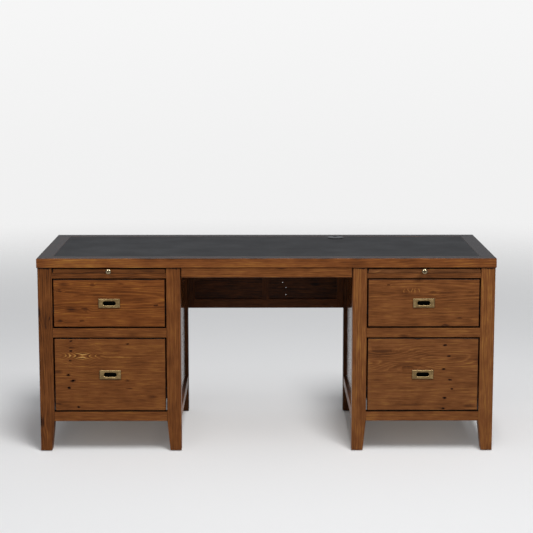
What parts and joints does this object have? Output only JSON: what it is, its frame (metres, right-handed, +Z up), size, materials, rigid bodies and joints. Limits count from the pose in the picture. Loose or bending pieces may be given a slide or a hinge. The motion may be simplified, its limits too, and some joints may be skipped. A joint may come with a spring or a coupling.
{
  "type": "pedestal desk",
  "caption": "Pedestal desk in stained wood with a leather-topped mitred frame, inset drawers on telescopic slides, pull-out writing trays, flush brass pulls and a cord grommet.",
  "frame": {"origin": "on the floor under the middle of the whole desk's box, knobs included", "axes": "+X to the sitter's right as seen in the picture, +Y to the rear, +Z up"},
  "size_m": [1.829, 0.732, 0.7895],
  "materials": {
    "stained_pine": "brown stain, waxed, satin, knotty reclaimed boards",
    "raw_pine": "planed, clear sealed",
    "black_leather": "fine grain, satin",
    "antique_brass": "aged, worn bright on edges",
    "zinc_steel": "rolled and zinc plated",
    "black_plastic": "moulded, fine matt texture",
    "nylon": "moulded"
  },
  "bodies": {
    "root": {"top_frame_front": "stained_pine", "top_frame_back": "stained_pine", "top_frame_left": "stained_pine", "top_frame_right": "stained_pine", "top_core": "raw_pine", "leather_inset": "black_leather", "grommet_liner": "black_plastic", "center_apron": "stained_pine", "modesty_frame": "stained_pine", "modesty_panels": "stained_pine", "left_leg_front_inner": "stained_pine", "left_leg_front_outer": "stained_pine", "left_leg_rear_inner": "stained_pine", "left_leg_rear_outer": "stained_pine", "left_front_rails": "stained_pine", "left_panel_rails": "stained_pine", "left_inner_panel": "stained_pine", "left_outer_panel": "stained_pine", "left_back_panel": "stained_pine", "right_leg_front_inner": "stained_pine", "right_leg_front_outer": "stained_pine", "right_leg_rear_inner": "stained_pine", "right_leg_rear_outer": "stained_pine", "right_front_rails": "stained_pine", "right_panel_rails": "stained_pine", "right_inner_panel": "stained_pine", "right_outer_panel": "stained_pine", "right_back_panel": "stained_pine", "tray_runners": "raw_pine", "slide_battens": "raw_pine", "slide_cabinet_members": "zinc_steel", "assembly_bolts": "zinc_steel", "leg_glides": "nylon"},
    "left_upper_drawer": {"left_upper_drawer_front": "stained_pine", "left_upper_drawer_box": "raw_pine", "left_upper_drawer_pull": "antique_brass", "left_upper_drawer_runners": "zinc_steel"},
    "left_upper_slide": {"left_upper_slide_middles": "zinc_steel"},
    "left_lower_drawer": {"left_lower_drawer_front": "stained_pine", "left_lower_drawer_box": "raw_pine", "left_lower_drawer_pull": "antique_brass", "left_lower_drawer_runners": "zinc_steel", "left_file_rails": "zinc_steel"},
    "left_lower_slide": {"left_lower_slide_middles": "zinc_steel"},
    "left_writing_tray": {"left_tray": "stained_pine", "left_tray_knob": "antique_brass"},
    "right_upper_drawer": {"right_upper_drawer_front": "stained_pine", "right_upper_drawer_box": "raw_pine", "right_upper_drawer_pull": "antique_brass", "right_upper_drawer_runners": "zinc_steel"},
    "right_upper_slide": {"right_upper_slide_middles": "zinc_steel"},
    "right_lower_drawer": {"right_lower_drawer_front": "stained_pine", "right_lower_drawer_box": "raw_pine", "right_lower_drawer_pull": "antique_brass", "right_lower_drawer_runners": "zinc_steel", "right_file_rails": "zinc_steel"},
    "right_lower_slide": {"right_lower_slide_middles": "zinc_steel"},
    "right_writing_tray": {"right_tray": "stained_pine", "right_tray_knob": "antique_brass"},
    "grommet_cap": {"grommet_cap": "black_plastic"}
  },
  "joints": [
    {"name": "left_upper_drawer_pull_out", "type": "slide", "parent": "root", "child": "left_upper_drawer", "axis": [0, -1, 0], "range_m": [0, 0.5]},
    {"name": "left_upper_slide_travel", "type": "slide", "parent": "root", "child": "left_upper_slide", "axis": [0, -1, 0], "range_m": [0, 0.25]},
    {"name": "left_lower_drawer_pull_out", "type": "slide", "parent": "root", "child": "left_lower_drawer", "axis": [0, -1, 0], "range_m": [0, 0.5]},
    {"name": "left_lower_slide_travel", "type": "slide", "parent": "root", "child": "left_lower_slide", "axis": [0, -1, 0], "range_m": [0, 0.25]},
    {"name": "left_tray_pull_out", "type": "slide", "parent": "root", "child": "left_writing_tray", "axis": [0, -1, 0], "range_m": [0, 0.33]},
    {"name": "right_upper_drawer_pull_out", "type": "slide", "parent": "root", "child": "right_upper_drawer", "axis": [0, -1, 0], "range_m": [0, 0.5]},
    {"name": "right_upper_slide_travel", "type": "slide", "parent": "root", "child": "right_upper_slide", "axis": [0, -1, 0], "range_m": [0, 0.25]},
    {"name": "right_lower_drawer_pull_out", "type": "slide", "parent": "root", "child": "right_lower_drawer", "axis": [0, -1, 0], "range_m": [0, 0.5]},
    {"name": "right_lower_slide_travel", "type": "slide", "parent": "root", "child": "right_lower_slide", "axis": [0, -1, 0], "range_m": [0, 0.25]},
    {"name": "right_tray_pull_out", "type": "slide", "parent": "root", "child": "right_writing_tray", "axis": [0, -1, 0], "range_m": [0, 0.33]},
    {"name": "grommet_cap_turn", "type": "hinge", "parent": "root", "child": "grommet_cap", "pos_m": [0.303, 0.269, 0.787], "axis": [0, 0, 1], "continuous": true}
  ],
  "couplings": [
    {"joint": "left_upper_slide_travel", "follows": "left_upper_drawer_pull_out", "ratio": 0.5},
    {"joint": "left_lower_slide_travel", "follows": "left_lower_drawer_pull_out", "ratio": 0.5},
    {"joint": "right_upper_slide_travel", "follows": "right_upper_drawer_pull_out", "ratio": 0.5},
    {"joint": "right_lower_slide_travel", "follows": "right_lower_drawer_pull_out", "ratio": 0.5}
  ]
}
